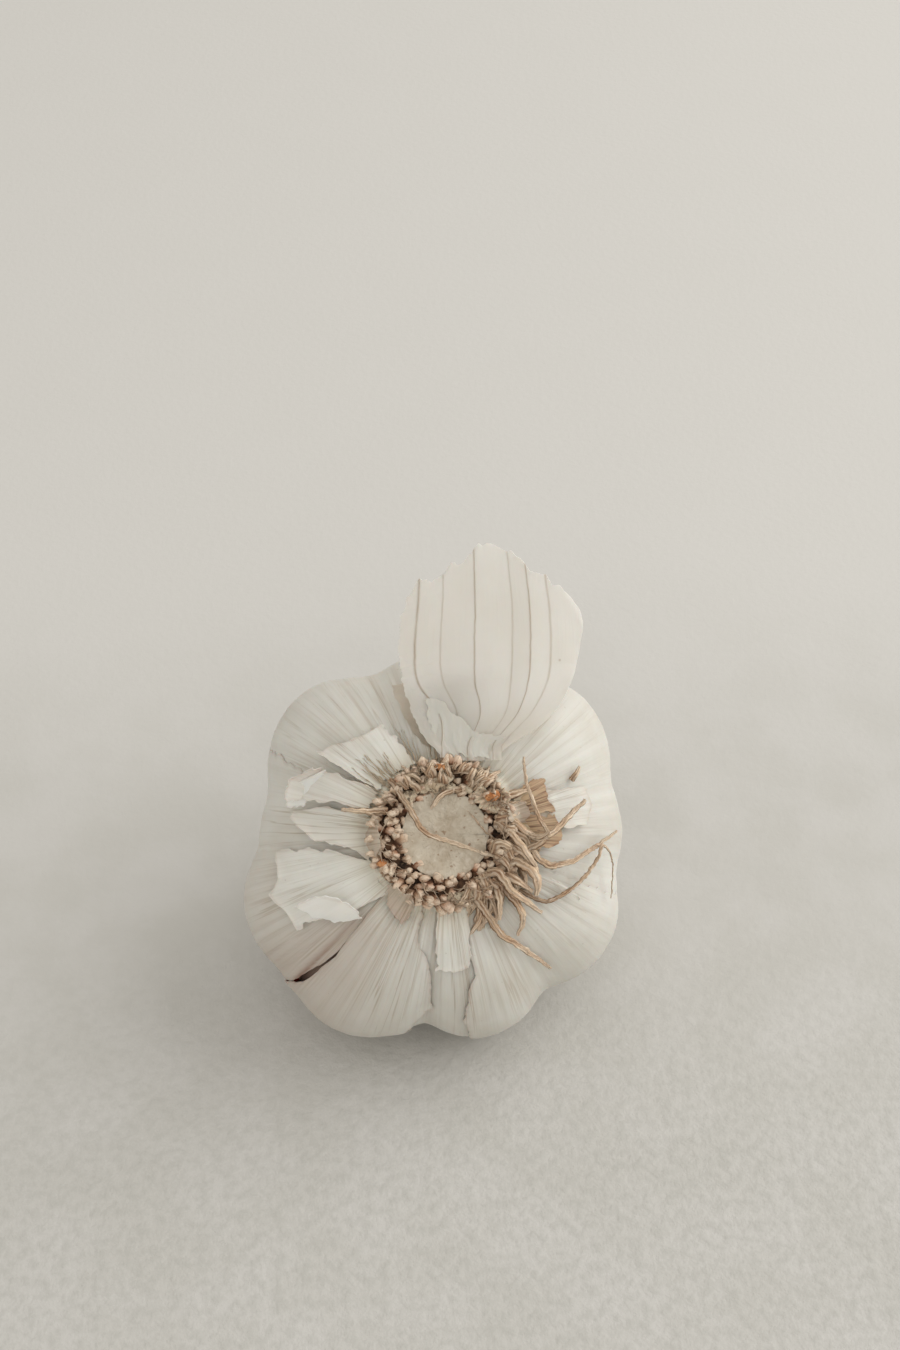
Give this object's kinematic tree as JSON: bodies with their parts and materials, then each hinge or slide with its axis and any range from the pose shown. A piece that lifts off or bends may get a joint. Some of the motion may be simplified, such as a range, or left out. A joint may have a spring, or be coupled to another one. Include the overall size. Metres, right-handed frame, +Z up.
{
  "type": "garlic bulb",
  "caption": "Whole head of garlic lying tipped over on its neck, root end up: lobed cloves under torn papery skins, a standing flap of skin and a ring of dried roots",
  "frame": {"origin": "On the table, under the middle of the whole head with its flap", "axes": "+Z is up from the table; +X runs to the right across the head; the root end faces up and towards -Y, and the neck lies down and towards +Y. The head's own axis leans 39 degrees from upright towards -Y."},
  "size_m": [0.0568, 0.0518, 0.0669],
  "materials": {
    "papery_skin": "satin",
    "flap_skin": "satin",
    "clove_skin": "satin",
    "root_plate": "matte",
    "dried_roots": "matte",
    "dried_neck": "matte"
  },
  "bodies": {
    "root": {"clove_1": "clove_skin", "clove_2": "clove_skin", "clove_3": "clove_skin", "clove_4": "clove_skin", "clove_5": "clove_skin", "clove_6": "clove_skin", "clove_7": "clove_skin", "clove_8": "clove_skin", "clove_9": "clove_skin", "skin_left": "papery_skin", "skin_front": "papery_skin", "skin_lower": "papery_skin", "skin_lower_right": "papery_skin", "skin_right": "papery_skin", "skin_top": "papery_skin", "flake_upper_left": "papery_skin", "flake_left": "papery_skin", "flake_lower_left": "papery_skin", "flake_upper": "papery_skin", "flake_bottom": "papery_skin", "flake_right": "papery_skin", "flap_foot_scrap": "papery_skin", "standing_flap": "flap_skin", "root_plate": "root_plate", "root_ring": "dried_roots", "neck": "dried_neck"}
  },
  "joints": []
}
